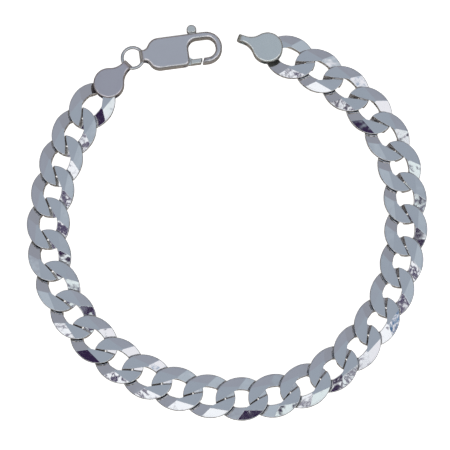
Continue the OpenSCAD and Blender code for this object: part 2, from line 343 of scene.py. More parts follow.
def flare(centre: Point, radius: float, neck_y: float, fillet: float) -> tuple[list[Point], float]:
    """Finds the hollow curve that leads from a neck's straight side into a round end.

    Args:
        centre: Centre of the round end.
        radius: Its radius.
        neck_y: Height of the neck's side above the axis.
        fillet: Radius of the hollow curve.

    Returns:
        The curve's points from the neck on, and the angle at which it meets the round end. The
        neck lies on the +X side of the round end.
    """
    fy = neck_y + fillet
    fx = centre[0] + math.sqrt((radius + fillet) ** 2 - (fy - centre[1]) ** 2)
    meet = math.degrees(math.atan2(fy - centre[1], fx - centre[0]))
    return arc((fx, fy), fillet, 270, 180 + meet), meet


def mesh_object(name: str, bm: Solid) -> Piece:
    """Puts a solid into a new object of the scene.

    Args:
        name: The name of the object and its mesh.
        bm: The solid, which is freed.

    Returns:
        The object, at the origin.
    """
    mesh = bpy.data.meshes.new(name)
    bm.to_mesh(mesh)
    bm.free()
    piece = bpy.data.objects.new(name, mesh)
    bpy.context.scene.collection.objects.link(piece)
    return piece


def prism(points: Sequence[Point], low: float, high: float, rim: float = 0.0,
          base_rim: float | None = None) -> Solid:
    """Extrudes a closed outline and rounds its rims.

    Args:
        points: The outline, anticlockwise.
        low: Height of the lower face.
        high: Height of the upper face.
        rim: Radius of the upper rim.
        base_rim: Radius of the lower rim, the upper one's if None.

    Returns:
        A closed mesh whose faces point outwards.
    """
    bm = bmesh.new()
    bottom, top = ([bm.verts.new((x, y, z)) for x, y in points] for z in (low, high))
    lower_face = bm.faces.new(bottom[::-1])
    upper_face = bm.faces.new(top)
    for side in zip(bottom, bottom[1:] + bottom[:1], top[1:] + top[:1], top):
        bm.faces.new(side)
    bm.normal_update()
    upper, lower = list(upper_face.edges), list(lower_face.edges)
    for edges, size in ((upper, rim), (lower, rim if base_rim is None else base_rim)):
        if size:
            bmesh.ops.bevel(bm, geom=edges, offset=size, segments=RIM_RINGS, profile=0.5,
                            affect="EDGES", clamp_overlap=False)
    bmesh.ops.recalc_face_normals(bm, faces=bm.faces)
    return bm


def pared(bm: Solid, planes: Iterable[Plane]) -> Solid:
    """Cuts a convex solid down to what lies behind every plane.

    Args:
        bm: A closed convex mesh, which is changed.
        planes: The planes beyond which everything goes.

    Returns:
        The same mesh, closed again.
    """
    for point, away in planes:
        bmesh.ops.bisect_plane(bm, geom=bm.verts[:] + bm.edges[:] + bm.faces[:], dist=TOUCH,
                               plane_co=point, plane_no=away, clear_outer=True)
        bmesh.ops.holes_fill(bm, edges=[edge for edge in bm.edges if edge.is_boundary], sides=0)
    bmesh.ops.recalc_face_normals(bm, faces=bm.faces)
    return bm


def block(size: float) -> Solid:
    """Makes a cube about the origin.

    Args:
        size: The length of its edges.

    Returns:
        The cube.
    """
    bm = bmesh.new()
    bmesh.ops.create_cube(bm, size=size)
    return bm


def drum(centre: Vector, radius: float, length: float) -> Solid:
    """Makes a closed cylinder whose axis runs along Y.

    Args:
        centre: Its middle.
        radius: Its radius.
        length: Its length.

    Returns:
        The cylinder.
    """
    bm = bmesh.new()
    turn = Matrix.Translation(centre) @ Matrix.Rotation(math.radians(90), 4, "X")
    bmesh.ops.create_cone(bm, cap_ends=True, segments=EYE_SIDES, radius1=radius, radius2=radius,
                          depth=length, matrix=turn)
    return bm


def torus(centre: Vector, ring_r: float, wire_r: float) -> Solid:
    """Makes a closed ring of round wire that lies level.

    Args:
        centre: Its middle.
        ring_r: Radius to the middle of the wire.
        wire_r: Radius of the wire.

    Returns:
        The ring.
    """
    bm = bmesh.new()
    loops = []
    for k in range(RING_TURNS):
        a = 2 * math.pi * k / RING_TURNS
        loop = []
        for j in range(WIRE_SIDES):
            b = 2 * math.pi * j / WIRE_SIDES
            r = ring_r + wire_r * math.cos(b)
            loop.append(bm.verts.new((centre.x + r * math.cos(a), centre.y + r * math.sin(a),
                                      centre.z + wire_r * math.sin(b))))
        loops.append(loop)
    for here, there in zip(loops, loops[1:] + loops[:1]):
        for j in range(WIRE_SIDES):
            i = (j + 1) % WIRE_SIDES
            bm.faces.new((here[j], there[j], there[i], here[i]))
    bmesh.ops.recalc_face_normals(bm, faces=bm.faces)
    return bm


def modify(piece: Piece, kind: str, **settings: Any) -> None:
    """Adds a modifier with its settings to a piece.

    Args:
        piece: The piece.
        kind: The modifier's type name.
        **settings: Its properties.
    """
    modifier = piece.modifiers.new(kind.lower(), kind)
    for name, value in settings.items():
        setattr(modifier, name, value)


def settle(piece: Piece) -> None:
    """Turns what the modifiers make of a piece into its plain mesh and removes them.

    Args:
        piece: The piece.
    """
    graph = bpy.context.evaluated_depsgraph_get()
    mesh = bpy.data.meshes.new_from_object(piece.evaluated_get(graph), preserve_all_data_layers=True,
                                           depsgraph=graph)
    old = piece.data
    piece.modifiers.clear()
    piece.data = mesh
    mesh.name = piece.name
    bpy.data.meshes.remove(old)


def repeat_with_nodes(piece: Piece, tree: Tree, values: dict[str, Any]) -> None:
    """Runs a node group on a piece with named inputs and leaves the plain mesh that it makes.

    Args:
        piece: The object whose mesh the group starts from.
        tree: The geometry node group.
        values: Input names and their values.
    """
    modifier = piece.modifiers.new(tree.name, "NODES")
    modifier.node_group = tree
    keys = {item.name: item.identifier for item in tree.interface.items_tree if item.in_out == "INPUT"}
    for name, value in values.items():
        modifier[keys[name]] = value
    settle(piece)


def cut(piece: Piece, tools: Iterable[Solid], operation: str = "DIFFERENCE") -> None:
    """Cuts closed tools out of a piece, or joins them to it.

    Args:
        piece: The piece, whose mesh is changed.
        tools: Closed meshes in the piece's own place, freed by this.
        operation: DIFFERENCE or UNION.
    """
    for tool in tools:
        cutter = mesh_object("cutter", tool)
        modify(piece, "BOOLEAN", object=cutter, operation=operation, solver="EXACT")
        settle(piece)
        bpy.data.objects.remove(cutter)


def weld(bm: Solid, distance: float) -> None:
    """Merges points closer together than a distance and drops the faces left without area."""
    bmesh.ops.remove_doubles(bm, verts=bm.verts, dist=distance)
    bmesh.ops.dissolve_degenerate(bm, dist=distance, edges=bm.edges)


@dataclass(frozen=True)
class Tumbling:
    """How a piece's edges are broken. Widths are in millimetres, angles in degrees.

    An edge is broken where its faces turn by more than `sharp`. The rim of an upright wall may have
    its own width. Points are merged by `merge` before, and by the much smaller `sliver` after.
    """

    width: float
    sharp: float = 34.0
    rings: int = 2
    rim: float = 0.0
    merge: float = 0.002
    sliver: float = 0.00002
    level: float = 0.4
    crisp: float = 38.0
    steep_z: float = 0.05
    flat_z: float = 0.5
    weight: int = 90

    def soften(self, piece: Piece, late: Iterable[Solid] = ()) -> None:
        """Breaks a piece's sharp edges and shades it with flat faces kept flat.

        Args:
            piece: The piece, still in its own place, in millimetres.
            late: Closed tools that are cut out afterwards, so that their edges stay crisp.
        """
        bm = bmesh.new()
        bm.from_mesh(piece.data)
        weld(bm, self.merge)
        bmesh.ops.dissolve_limit(bm, angle_limit=math.radians(self.level), verts=bm.verts,
                                 edges=bm.edges)
        weight = bm.edges.layers.float.new("bevel_weight_edge")
        for edge in bm.edges:
            if edge.is_manifold and edge.calc_face_angle() > math.radians(self.sharp):
                steep, flat = sorted(abs(face.normal.z) for face in edge.link_faces)
                is_rim = steep < self.steep_z and flat > self.flat_z and edge.is_convex
                edge[weight] = 1.0 if is_rim or not self.rim else self.width / self.rim
        bm.to_mesh(piece.data)
        bm.free()
        modify(piece, "BEVEL", width=self.rim or self.width, segments=self.rings,
               limit_method="WEIGHT", use_clamp_overlap=False, miter_outer="MITER_ARC")
        settle(piece)
        bm = bmesh.new()
        bm.from_mesh(piece.data)
        weld(bm, self.sliver)
        bm.to_mesh(piece.data)
        bm.free()
        cut(piece, late)
        piece.data.shade_smooth()
        piece.data.set_sharp_from_angle(angle=math.radians(self.crisp))
        modify(piece, "WEIGHTED_NORMAL", mode="FACE_AREA", weight=self.weight, keep_sharp=True)
        settle(piece)
        # Upright faces are marked so that the finishes paint them darker, a painted shade.
        upright = piece.data.attributes.new(UPRIGHT, "FLOAT", "FACE")
        upright.data.foreach_set("value", [1.0 - abs(face.normal.z) for face in piece.data.polygons])


def give(piece: Piece, finish: Material) -> None:
    """Gives a piece its only finish."""
    piece.data.materials.clear()
    piece.data.materials.append(finish)


def hand_over(piece: Piece, body: Body, replaced: Sequence[str]) -> None:
    """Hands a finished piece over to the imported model.

    Args:
        piece: The piece, in the frame and in its finish.
        body: The rigid body that it moves with.
        replaced: The CAD nodes that it stands for.
    """
    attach(piece, body.value)
    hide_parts(*replaced)
    LOG.info("%s rides on %s: %d faces, for %d CAD node(s)", piece.name, body.value,
             len(piece.data.polygons), len(replaced))


# ---------------------------------------------------------------- the way the chain lies

@dataclass(frozen=True)
class CapSeat:
    """How a cap sits on its end link: how far out, how far swung round it, and how turned."""

    reach: float
    swing: float
    turn: float

    def on_link(self) -> Point:
        """Returns the middle of the cap's round plate, from the middle of its link."""
        a = math.radians(self.swing)
        return self.reach * math.cos(a), self.reach * math.sin(a)

    def spot(self, link: Spot) -> Spot:
        """Returns the same point in plan, heading along the cap's neck, for a link heading out."""
        return link.facing(link.heading + self.swing).ahead(self.reach, self.turn)


@dataclass(frozen=True)
class Lie:
    """The open ring in which the chain, its caps, the jump ring and the clasp lie."""

    pitch: float = 5.9
    first_heading: float = 231.0
    ring_length: float = 207.41
    turns: tuple[float, ...] = (
        10.6, 10.2, 7.1, 7.9, 12, 13.7, 12, 10.4, 10.1, 9.6, 8.6, 7.8, 8.9, 11.5,
        13.2, 12.9, 10.4, 9.1, 10.1, 10.4, 9.1, 8.4, 10, 12.5, 13.3, 10.8, 8.4, 7.9)
    clasp_seat: CapSeat = CapSeat(reach=5.0, swing=2.0, turn=-7.0)
    free_seat: CapSeat = CapSeat(reach=4.5, swing=0.0, turn=2.5)
    ring_turn: float = 12.0
    clasp_from_ring: float = 8.0
    clasp_heading: float = 7.7
    tip_to_ring: float = 1.23

    def links(self) -> list[Spot]:
        """Walks the chain link by link.

        Returns:
            A spot for the middle of each link, moved so that the middle one is where the CAD has it.
        """
        scale = 360 / self.ring_length * self.pitch * len(self.turns) / sum(self.turns)
        spots = [Spot(0.0, 0.0, self.first_heading)]
        for turn in self.turns:
            halfway = spots[-1].ahead(self.pitch / 2, scale * turn)
            spots.append(halfway.ahead(self.pitch / 2))
        low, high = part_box("link_15")
        middle, walked = (low + high) / 2 / MM, spots[14]
        return [spot.moved(middle.x - walked.x, middle.y - walked.y) for spot in spots]


# ---------------------------------------------------------------- the chain

@dataclass
class CurbLink:
    """One flat link: an oval ring filed down to planes above and below, so that it twists.

    It is the same from four sides, so each plane is given once and turned to all its corners.
    """

    length: float = 9.45
    width: float = 7.8
    thickness: float = 2.0
    limb: float = 2.3
    bend: float = 1.65
    lap_gap: float = 0.42
    ramp_lead: float = 0.5
    flat: float = 4.2
    bevel: float = 15.0
    step_angle: float = 78.0
    step_turn: float = 26.0
    step_back: float = 0.12
    tongue_turn: float = 33.0
    pitch: float = 5.9
    sides: int = 112
    bed: float = 0.5
    bed_r: float = 2.85
    bed_sides: int = 90
    bed_start: float = 3.0
    edges: Tumbling = Tumbling(width=0.045, sharp=9.0, rings=3, rim=0.13)

    CORNERS = ((1, 1, 1), (-1, -1, 1), (1, -1, -1), (-1, 1, -1))

    @staticmethod
    def turned(plane: Plane, corner: tuple[int, int, int]) -> Plane:
        """Returns a plane turned to one of the link's corners."""
        return tuple(Vector(p * q for p, q in zip(vector, corner)) for vector in plane)

    def oval(self, bend: float, limb: float) -> list[Point]:
        """Lists an oval inside the outline.

        Args:
            bend: How far in from the outline it is at the bends.
            limb: How far in it is at the limbs.

        Returns:
            Its points, anticlockwise.
        """
        half_l, half_w = self.length / 2 - bend, self.width / 2 - limb
        angles = [2 * math.pi * k / self.sides for k in range(self.sides)]
        return [(half_l * math.cos(a), half_w * math.sin(a)) for a in angles]

    def facet(self) -> Plane:
        """Returns the plane of the side facet above the +Y limb."""
        a = math.radians(self.bevel)
        return Vector((0, self.flat / 2, self.thickness / 2)), Vector((0, math.sin(a), math.cos(a)))

    def ramp(self) -> Plane:
        """Returns the plane of the ramp that falls toward +X."""
        a = math.atan((self.thickness + self.lap_gap) / (self.pitch + 2 * self.ramp_lead))
        return Vector((-self.ramp_lead, 0, self.thickness / 2)), Vector((math.sin(a), 0, math.cos(a)))

    def step(self, turn: float, lean: float) -> Plane:
        """Finds a steep plane at the +X bend.

        Args:
            turn: How far it is turned in plan, in degrees.
            lean: 1 where it faces the +Y limb, -1 where it faces the other.

        Returns:
            The plane.
        """
        a, b = math.radians(self.step_angle), math.radians(turn)
        across = math.sin(a) * lean
        return (Vector((self.length / 2 - self.bend, -self.step_back, self.thickness / 2)),
                Vector((-across * math.sin(b), across * math.cos(b), math.cos(a))))

    def eye(self) -> Solid:
        """Builds the opening.

        Returns:
            A tool that leaves each flat room to reach over the opening at one bend.
        """
        half = self.thickness / 2 + SPARE
        tongues = [self.turned(self.step(self.tongue_turn, -1), corner) for corner in self.CORNERS]
        return pared(prism(self.oval(self.bend, self.limb), -half, half), tongues)

    def lap(self, corner: tuple[int, int, int]) -> Solid:
        """Builds what is filed off above one limb's low end."""
        planes = [self.turned(plane, corner) for plane in (self.ramp(), self.step(self.step_turn, 1))]
        return pared(block(3 * self.length), [(point, -away) for point, away in planes])

    def build(self, name: str, bedded: Point | None = None) -> Piece:
        """Builds a link, in metres, about its own middle, with its lowest face at z = 0.

        Args:
            name: The object's name.
            bedded: For an end link, the middle of its cap's round plate: its +X bend is pared
                underneath where it lies on that plate. None for a plain link.

        Returns:
            The link, to be repeated along the chain.
        """
        half = self.thickness / 2
        blank = pared(prism(self.oval(0, 0), -half, half),
                      [self.turned(self.facet(), corner) for corner in self.CORNERS])
        link = mesh_object(name, blank)
        cut(link, [self.eye()] + [self.lap(corner) for corner in self.CORNERS])
        link.data.transform(Matrix.Translation((0, 0, half)))
        bed = []
        if bedded:
            round_plate = circle(bedded, self.bed_r, self.bed_sides, self.bed_start)
            bed.append(prism(round_plate, -half, self.bed))
        self.edges.soften(link, bed)
        link.data.transform(Matrix.Scale(MM, 4))
        return link


@dataclass
class CurbChain:
    """All the links, repeated along the chain's lie by a node tree."""

    link: CurbLink
    lie: Lie
    tilt: float = 0.2
    seed: int = 7

    def tree(self) -> Tree:
        """Builds the geometry nodes that put a link on each point of the lie.

        Returns:
            The node group, whose inputs are named for the links, their tilt, seed and finish.
        """
        tree, given = start_group("links_along_chain", {
            "Lie": "Geometry", "First Link": "Object", "Plain Link": "Object", "Last Link": "Object",
            "Link Count": "Int", "Tilt": "Float", "Seed": "Int", "Finish": "Material"}, "Links")
        heading = add_node(tree, "GeometryNodeInputNamedAttribute", {"Name": "heading"},
                           data_type="FLOAT")
        upright = add_node(tree, "ShaderNodeCombineXYZ", {"Z": heading})
        other_way = add_node(tree, "ShaderNodeMath", {0: given["Tilt"], 1: -1.0}, operation="MULTIPLY")
        least, most = (add_node(tree, "ShaderNodeCombineXYZ", {"X": tilt, "Y": tilt})
                       for tilt in (other_way, given["Tilt"]))
        sway = add_node(tree, "FunctionNodeRandomValue", {0: least, 1: most, "Seed": given["Seed"]},
                        data_type="FLOAT_VECTOR")
        turned = add_node(tree, "ShaderNodeVectorMath", {0: upright, 1: sway}, operation="ADD")
        rotation = add_node(tree, "FunctionNodeEulerToRotation", {0: turned})
        index = add_node(tree, "GeometryNodeInputIndex")
        last = add_node(tree, "ShaderNodeMath", {0: given["Link Count"], 1: 1.0}, operation="SUBTRACT")
        is_first, is_last = (
            add_node(tree, "FunctionNodeCompare", {2: index, 3: which}, data_type="INT",
                     operation="EQUAL")
            for which in (0, last))
        is_end = add_node(tree, "FunctionNodeBooleanMath", {0: is_first, 1: is_last}, operation="OR")
        is_plain = add_node(tree, "FunctionNodeBooleanMath", {0: is_end}, operation="NOT")
        copies = []
        for name, chosen in (("First Link", is_first), ("Plain Link", is_plain), ("Last Link", is_last)):
            shape = add_node(tree, "GeometryNodeObjectInfo", {"Object": given[name]}, "Geometry")
            placed = add_node(tree, "GeometryNodeStoreNamedAttribute", {
                "Geometry": shape, "Name": LINK_PLACE,
                "Value": add_node(tree, "GeometryNodeInputPosition")}, data_type="FLOAT_VECTOR")
            copies.append(add_node(tree, "GeometryNodeInstanceOnPoints", {
                "Points": given["Lie"], "Selection": chosen, "Instance": placed,
                "Rotation": rotation}))
        joined = add_node(tree, "GeometryNodeJoinGeometry", {0: copies})
        tone = add_node(tree, "FunctionNodeRandomValue", {"Seed": given["Seed"]}, 1, data_type="FLOAT")
        toned = add_node(tree, "GeometryNodeStoreNamedAttribute", {
            "Geometry": joined, "Name": LINK_TONE, "Value": tone}, data_type="FLOAT",
            domain="INSTANCE")
        end_group(tree, toned, given["Finish"])
        return tree

    def build(self) -> Piece:
        """Builds every link of the chain as one plain mesh.

        Returns:
            The chain in its place in the frame, in its finish.
        """
        spots = self.lie.links()
        bm = bmesh.new()
        for spot in spots:
            bm.verts.new((spot.x * MM, spot.y * MM, 0.0))
        chain = mesh_object("curb_chain", bm)
        heading = chain.data.attributes.new("heading", "FLOAT", "POINT")
        heading.data.foreach_set("value", [math.radians(spot.heading) for spot in spots])
        first = self.link.build("first_link", self.lie.clasp_seat.on_link())
        first.data.transform(Matrix.Rotation(math.pi, 4, "Z"))
        plain = self.link.build("plain_link")
        last = self.link.build("last_link", self.lie.free_seat.on_link())
        repeat_with_nodes(chain, self.tree(), {
            "First Link": first, "Plain Link": plain, "Last Link": last, "Link Count": len(spots),
            "Tilt": math.radians(self.tilt), "Seed": self.seed, "Finish": CUT_SILVER.material()})
        for pattern in (first, plain, last):
            bpy.data.objects.remove(pattern)
        return chain

    def dress(self, chain: Piece) -> None:
        """Hands the chain over; its finish came with its node tree."""
        names = [f"link_{k + 1:02d}" for k in range(len(self.lie.turns) + 1)]
        hand_over(chain, Body.BRACELET, names)


# ---------------------------------------------------------------- jump ring

@dataclass
class JumpRing:
    """A ring of round wire that joins the left cap to the clasp."""

    wire: float = 0.6
    bore: float = 3.26
    lift: float = 1.2
    groove_r: float = 0.34

    @property
    def middle_r(self) -> float:
        """Radius to the middle of the wire."""
        return (self.bore + self.wire) / 2

    def groove(self, ring: Spot, piece: Spot) -> Solid:
        """Builds the room that the wire takes in a piece that it passes through.

        Args:
            ring: Where the ring lies.
            piece: Where the piece lies.

        Returns:
            A ring a little thicker than the wire, in the piece's own place.
        """
        middle = (piece.matrix().inverted() @ ring.matrix()).translation
        return torus(Vector((middle.x, middle.y, self.lift)), self.middle_r, self.groove_r)

    def tree(self) -> Tree:
        """Builds the geometry nodes that bend a wire into a ring.

        Returns:
            The node group, with the ring's radius, its wire's radius and its finish as inputs.
        """
        tree, given = start_group("wire_round_ring", {
            "Seat": "Geometry", "Ring Radius": "Float", "Wire Radius": "Float",
            "Finish": "Material"}, "Ring")
        path, section = (
            add_node(tree, "GeometryNodeCurvePrimitiveCircle", {
                "Resolution": count, "Radius": given[radius]})
            for count, radius in ((RING_TURNS, "Ring Radius"), (WIRE_SIDES, "Wire Radius")))
        wire = add_node(tree, "GeometryNodeCurveToMesh", {"Curve": path, "Profile Curve": section})
        smooth = add_node(tree, "GeometryNodeSetShadeSmooth", {"Geometry": wire})
        ring = add_node(tree, "GeometryNodeInstanceOnPoints", {
            "Points": given["Seat"], "Instance": smooth})
        end_group(tree, ring, given["Finish"])
        return tree

    def build(self, spot: Spot) -> Piece:
        """Builds the ring, level with the middle of the chain.

        Args:
            spot: The ring's middle in plan.

        Returns:
            The ring in the frame, in its finish.
        """
        seat = bmesh.new()
        seat.verts.new((spot.x * MM, spot.y * MM, self.lift * MM))
        ring = mesh_object("wire_ring", seat)
        repeat_with_nodes(ring, self.tree(), {
            "Ring Radius": self.middle_r * MM, "Wire Radius": self.wire / 2 * MM,
            "Finish": WIRE_SILVER.material()})
        return ring

    def dress(self, ring: Piece) -> None:
        """Hands the ring over; its finish came with its node tree."""
        hand_over(ring, Body.BRACELET, ["jump_ring"])


# ---------------------------------------------------------------- end caps

def fold_waste(tip: float, toward: int, height: float, width: float) -> Solid:
    """Builds what a round fold leaves off a neck's square tip.

    Args:
        tip: Where the neck ends.
        toward: 1 where it ends toward +X, -1 toward -X.
        height: The neck's height.
        width: The neck's width.

    Returns:
        The waste above and below the fold, to be cut away.
    """
    fold_r = height / 2
    out, top = fold_r + SPARE, height + SPARE
    side = [(0.0, -SPARE), (out, -SPARE), (out, top), (0.0, top)]
    side += [(x, fold_r + z) for x, z in arc((0, 0), fold_r, 90, -90)]
    waste = prism([(tip + toward * (x - fold_r), z) for x, z in side], -width, width)
    upright = Matrix.Rotation(math.pi / 2, 3, "X")
    bmesh.ops.rotate(waste, verts=waste.verts, cent=(0, 0, 0), matrix=upright)
    return waste


@dataclass
class EndCap:
    """A folded cap soldered on an end link.

    A round plate lies above and below the link's bend, and the neck's tip is folded into an eye.
    """

    end: End
    reach: float
    neck_w: float
    pocket_end: float
    pocket_out: float = 9.0
    round_r: float = 2.8
    flare_r: float = 3.0
    height: float = 2.4
    plate: float = 0.35
    floor: float = 0.45
    eye_r: float = 0.8
    rim: float = 0.38
    base_rim: float = 0.22
    edges: Tumbling = Tumbling(width=0.05)

    def outline(self) -> list[Point]:
        """Lists the cap's outline in plan.

        Returns:
            Its points, anticlockwise, from its neck round to its neck.
        """
        curve, meet = flare((0.0, 0.0), self.round_r, self.neck_w / 2, self.flare_r)
        upper = [(self.reach, self.neck_w / 2)] + curve
        lower = [(x, -y) for x, y in reversed(upper)]
        return upper + arc((0.0, 0.0), self.round_r, meet, 360 - meet)[1:-1] + lower

    def build(self, spot: Spot, grooves: Sequence[Solid] = ()) -> Piece:
        """Builds the cap in its place.

        Args:
            spot: Centre of the round end, heading along the neck.
            grooves: What rings that pass through its eye take away.

        Returns:
            The cap in the frame.
        """
        blank = prism(self.outline(), 0.0, self.height, self.rim, self.base_rim)
        cap = mesh_object(f"{self.end.value}_cap", blank)
        out, end = self.pocket_out, self.pocket_end
        pocket = prism([(-out, -out), (end, -out), (end, out), (-out, out)],
                       self.floor, self.height - self.plate)
        fold = self.height / 2
        eye = drum(Vector((self.reach - fold, 0, fold)), self.eye_r, self.neck_w + 4 * SPARE)
        cut(cap, [pocket, fold_waste(self.reach, 1, self.height, self.neck_w), eye, *grooves])
        self.edges.soften(cap)
        cap.data.transform(spot.matrix())
        return cap

    def dress(self, cap: Piece, finish: Material) -> None:
        """Gives the cap its finish and hands it over."""
        give(cap, finish)
        hand_over(cap, Body.BRACELET, [f"{self.end.value}_end_cap"])


# ---------------------------------------------------------------- clasp

@dataclass
class LobsterClasp:
    """The clasp's cast body with its neck, its hook and the slot for the lever.

    The lever's sizes stand here too, because slot and lever are worked out together.
    """

    width: float = 5.85
    height: float = 2.4
    start: float = 0.3
    front: float = 7.85
    shoulder_r: float = 2.2
    shoulder_flare: float = 1.2
    neck_w: float = 2.1
    band: float = 1.2
    nose: float = 1.05
    bore_l: float = 5.0
    bore_r: float = 1.6
    corner_r: float = 0.95
    tongue_l: float = 2.25
    slit: float = 0.35
    slit_angle: float = 23.0
    slot_h: float = 1.3
    slot_back: float = 4.8
    slot_ahead: float = 0.5
    pivot_back: float = 1.55
    pivot_up: float = 1.6
    boss_r: float = 0.95
    boss_sides: int = 60
    pin_hole_r: float = 0.43
    pin_hole_sides: int = 45
    lid: float = 0.35
    eye_r: float = 0.8
    gap: float = 0.1
    fit: float = 0.05
    lever_t: float = 1.1
    tongue_t: float = 1.8
    arm: float = 1.1
    knob_w: float = 1.8
    knob_h: float = 1.65
    knob_neck: float = 0.25
    rim: float = 0.52
    base_rim: float = 0.3
    bow_step: float = 3.0
    edges: Tumbling = Tumbling(width=0.05)

    @property
    def half(self) -> float:
        """Half the body's width."""
        return self.width / 2

    @property
    def pivot(self) -> Point:
        """The lever's pivot in plan, from the neck's eye."""
        return self.front - self.pivot_back, self.pivot_up - self.half

    @property
    def knob_x(self) -> float:
        """Where the knob begins."""
        return self.front + self.fit + self.gap

    @property
    def bar_y(self) -> float:
        """Lower side of the lever's bar in the hook's upper band."""
        return self.half - self.band + 3 * self.gap

    def slit_at(self, y: float, back: float = 0.0) -> float:
        """Returns where the slanted slit, or a line a distance before it, crosses a height."""
        lean = math.tan(math.radians(self.slit_angle))
        return self.front + self.tongue_l - back + lean * (y + self.half)

    def body_outline(self) -> list[Point]:
        """Lists the outline of neck, body and hook.

        Returns:
            Its points, anticlockwise, from the neck's lower side.
        """
        middle_x = self.start + self.shoulder_r
        centre = (0.0, self.half - self.shoulder_r)
        curve, meet = flare(centre, self.shoulder_r, self.neck_w / 2, self.shoulder_flare)
        back = [(middle_x + self.height / 2, self.neck_w / 2)] + curve
        back += arc(centre, self.shoulder_r, meet, 90)[1:]
        back = [(middle_x - x, y) for x, y in back]
        nose_y, inner_y = self.nose - self.half, self.half - self.band
        end_x = self.front + self.bore_l
        r, c = self.bore_r, self.corner_r
        front = arc((self.front - c, c - self.half), c, 270, 360)
        front += arc((self.front + r, inner_y - r), r, 180, 90)
        front += arc((end_x - r, inner_y - r), r, 90, 0)
        front += arc((end_x - r, nose_y + r), r, 0, -90)
        front += [(self.slit_at(nose_y), nose_y), (self.slit_at(-self.half), -self.half)]
        front += arc((end_x + self.band - self.half, 0.0), self.half, -90, 90, self.bow_step)
        return [(x, -y) for x, y in back] + front + back[::-1]

    def slot(self) -> Solid:
        """Builds the space inside the body in which the lever swings.

        Returns:
            The space, open above the thumb knob and below the tongue.
        """
        x, y = self.pivot
        floor_y, out = y - self.boss_r - self.gap, self.half + SPARE
        mouth, bar_y = self.front + self.slot_ahead, self.bar_y - self.gap
        knob_end = self.knob_x + self.knob_w + self.gap
        outline = [(self.slot_back, floor_y), (x, floor_y), (x + self.boss_r / 2, -out), (mouth, -out),
                   (mouth, bar_y), (knob_end, bar_y), (knob_end, out), (self.slot_back, out)]
        middle = self.height / 2
        return prism(outline, middle - self.slot_h / 2, middle + self.slot_h / 2)

    def build(self, spot: Spot, groove: Solid) -> Piece:
        """Builds neck, body and hook in one piece.

        Args:
            spot: The middle of the neck's eye, heading toward the hook.
            groove: What the jump ring takes away in that eye.

        Returns:
            The clasp's body in the frame.
        """
        blank = prism(self.body_outline(), 0.0, self.height, self.rim, self.base_rim)
        body = mesh_object("clasp_casting", blank)
        middle = self.height / 2
        waste = fold_waste(-middle, -1, self.height, self.neck_w)
        eye = drum(Vector((0, 0, middle)), self.eye_r, self.neck_w + 4 * SPARE)
        hole = prism(circle(self.pivot, self.pin_hole_r, self.pin_hole_sides), -SPARE,
                     self.height - self.lid)
        cut(body, [self.slot(), waste, eye, hole, groove])
        self.edges.soften(body)
        body.data.transform(spot.matrix())
        return body

    def dress(self, body: Piece, finish: Material) -> None:
        """Gives the clasp's body its finish and hands it over."""
        give(body, finish)
        hand_over(body, Body.BRACELET, ["clasp_body"])


@dataclass
class ClaspLever:
    """The sprung lever: a thin plate in the body's slot, with a thick tongue and a thumb knob."""

    clasp: LobsterClasp
    web_ahead: float = 0.5
    web_up: float = 0.05
    knob_rim: float = 0.3
    tongue_rim: float = 0.24
    edges: Tumbling = Tumbling(width=0.04)

    def tongue(self, from_x: float) -> list[Point]:
        """Lists the outline of the tongue that closes the hook.

        Args:
            from_x: Where it begins, from the neck's eye.

        Returns:
            Its four corners.
        """
        c = self.clasp
        low, high = c.gap - c.half, c.nose - c.half
        return [(from_x, low), (c.slit_at(low, c.slit), low), (c.slit_at(high, c.slit), high),
                (from_x, high)]

    def plate_parts(self) -> list[list[Point]]:
        """Lists the outlines that together make the thin plate.

        Returns:
            Its boss, its arm with the bar and the knob's neck, its web and its tongue.
        """
        c = self.clasp
        x, y = c.pivot
        arm_x = c.front - c.fit - c.gap - c.arm
        knob_end, top, neck_top = c.knob_x + c.knob_w, c.half - c.gap, c.half + 3 * c.gap
        neck_start, neck_end = c.knob_x + c.knob_neck, knob_end - c.knob_neck
        low, web_x, web_y = c.gap - c.half, c.knob_x + self.web_ahead, y + self.web_up
        arm = [(arm_x, y), (arm_x + c.arm, y), (arm_x + c.arm, c.bar_y), (knob_end, c.bar_y),
               (knob_end, top), (neck_end, top), (neck_end, neck_top), (neck_start, neck_top),
               (neck_start, top), (arm_x, top)]
        web = [(x, y - c.boss_r), (c.front - c.arm / 2, low), (web_x, low), (web_x, c.nose - c.half),
               (arm_x + c.arm, web_y), (x, web_y)]
        return [circle(c.pivot, c.boss_r, c.boss_sides), arm, web, self.tongue(c.front - c.gap)]

    def knob(self) -> list[Point]:
        """Lists the outline of the thumb knob.

        Returns:
            Its points, anticlockwise, round on top.
        """
        c = self.clasp
        r = c.knob_w / 2
        base, middle = c.half + c.gap, (c.knob_x + r, c.half + c.knob_h - r)
        drop = math.degrees(math.asin((middle[1] - base) / r))
        return arc(middle, r, -drop, 180 + drop)

    def build(self, spot: Spot) -> Piece:
        """Builds the lever, closed.

        Args:
            spot: The clasp's place.

        Returns:
            The lever in the frame.
        """
        c = self.clasp
        thin, thick = c.lever_t / 2, c.tongue_t / 2
        boss, *others = (prism(outline, -thin, thin) for outline in self.plate_parts())
        lever = mesh_object("thumb_lever", boss)
        cut(lever, [*others, prism(self.tongue(c.knob_x), -thick, thick, self.tongue_rim),
                    prism(self.knob(), -thick, thick, self.knob_rim)], "UNION")
        hole = circle(c.pivot, c.pin_hole_r, c.pin_hole_sides)
        cut(lever, [prism(hole, -2 * SPARE, 2 * SPARE)])
        self.edges.soften(lever)
        lever.data.transform(spot.matrix(lift=c.height / 2))
        return lever

    def dress(self, lever: Piece, finish: Material) -> None:
        """Gives the lever its finish and hands it over to its own body."""
        give(lever, finish)
        hand_over(lever, Body.LEVER, ["clasp_lever"])


# ---------------------------------------------------------------- studio

